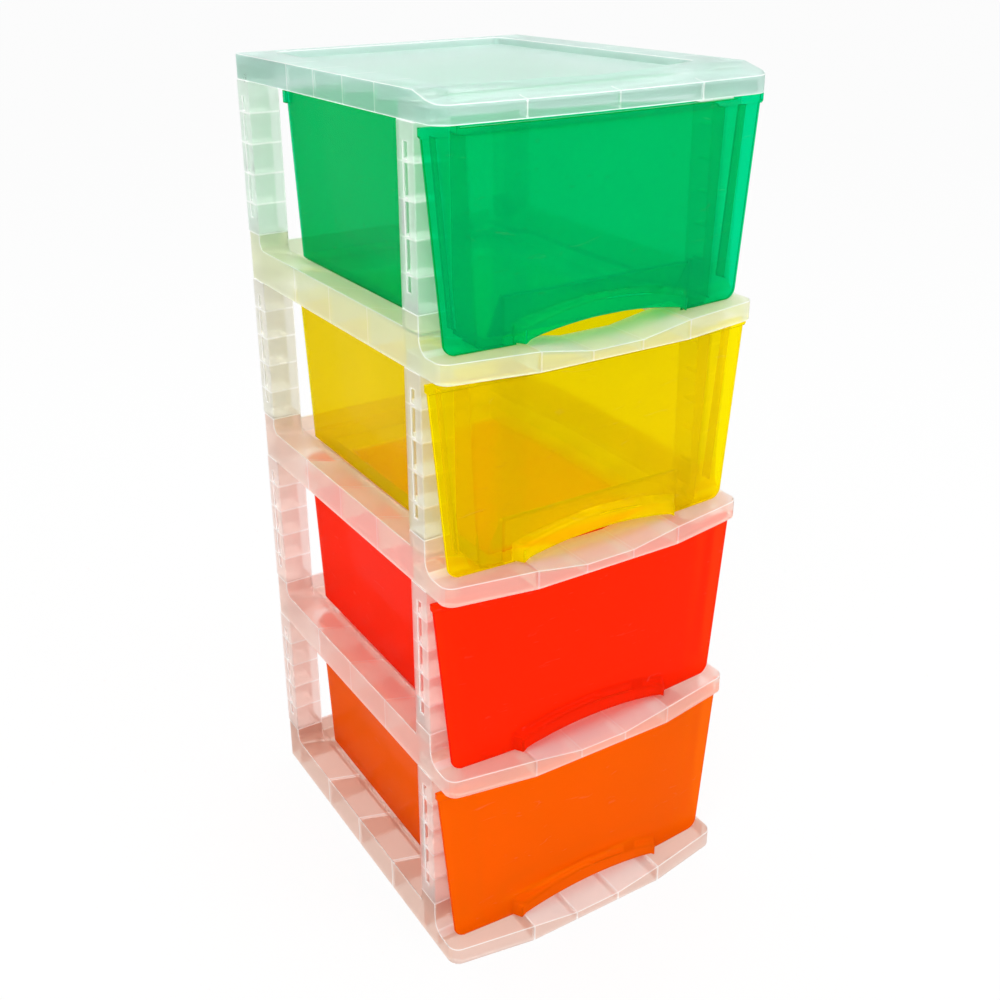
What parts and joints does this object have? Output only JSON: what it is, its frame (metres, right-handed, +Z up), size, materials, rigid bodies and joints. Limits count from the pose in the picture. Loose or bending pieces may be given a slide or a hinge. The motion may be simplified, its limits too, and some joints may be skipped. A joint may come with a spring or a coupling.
{
  "type": "drawer tower",
  "caption": "Free-standing plastic drawer tower: coloured tubs with arched front grips slide in translucent frames held apart by slotted corner posts.",
  "frame": {"origin": "middle of the footprint, on the floor", "axes": "+X across the front, to the right of someone facing it, -Y out of the front, the way the drawers come out, +Z up"},
  "size_m": [0.3386, 0.404, 0.824],
  "materials": {
    "frosted_plastic": "satin",
    "green_plastic": "gloss",
    "yellow_plastic": "gloss",
    "red_plastic": "gloss",
    "orange_plastic": "gloss"
  },
  "bodies": {
    "tower": {"base_frame": "frosted_plastic", "lower_shelf_frame": "frosted_plastic", "middle_shelf_frame": "frosted_plastic", "upper_shelf_frame": "frosted_plastic", "post_bottom_rear_left": "frosted_plastic", "post_bottom_rear_right": "frosted_plastic", "post_bottom_front_left": "frosted_plastic", "post_bottom_front_right": "frosted_plastic", "post_lower_rear_left": "frosted_plastic", "post_lower_rear_right": "frosted_plastic", "post_lower_front_left": "frosted_plastic", "post_lower_front_right": "frosted_plastic", "post_upper_rear_left": "frosted_plastic", "post_upper_rear_right": "frosted_plastic", "post_upper_front_left": "frosted_plastic", "post_upper_front_right": "frosted_plastic", "post_top_rear_left": "frosted_plastic", "post_top_rear_right": "frosted_plastic", "post_top_front_left": "frosted_plastic", "post_top_front_right": "frosted_plastic", "top_cover": "frosted_plastic"},
    "orange_drawer": {"orange_drawer": "orange_plastic"},
    "red_drawer": {"red_drawer": "red_plastic"},
    "yellow_drawer": {"yellow_drawer": "yellow_plastic"},
    "green_drawer": {"green_drawer": "green_plastic"}
  },
  "joints": [
    {"name": "orange_drawer_slide", "type": "slide", "parent": "tower", "child": "orange_drawer", "axis": [0, -1, 0], "range_m": [0, 0.29]},
    {"name": "red_drawer_slide", "type": "slide", "parent": "tower", "child": "red_drawer", "axis": [0, -1, 0], "range_m": [0, 0.29]},
    {"name": "yellow_drawer_slide", "type": "slide", "parent": "tower", "child": "yellow_drawer", "axis": [0, -1, 0], "range_m": [0, 0.29]},
    {"name": "green_drawer_slide", "type": "slide", "parent": "tower", "child": "green_drawer", "axis": [0, -1, 0], "range_m": [0, 0.29]}
  ]
}
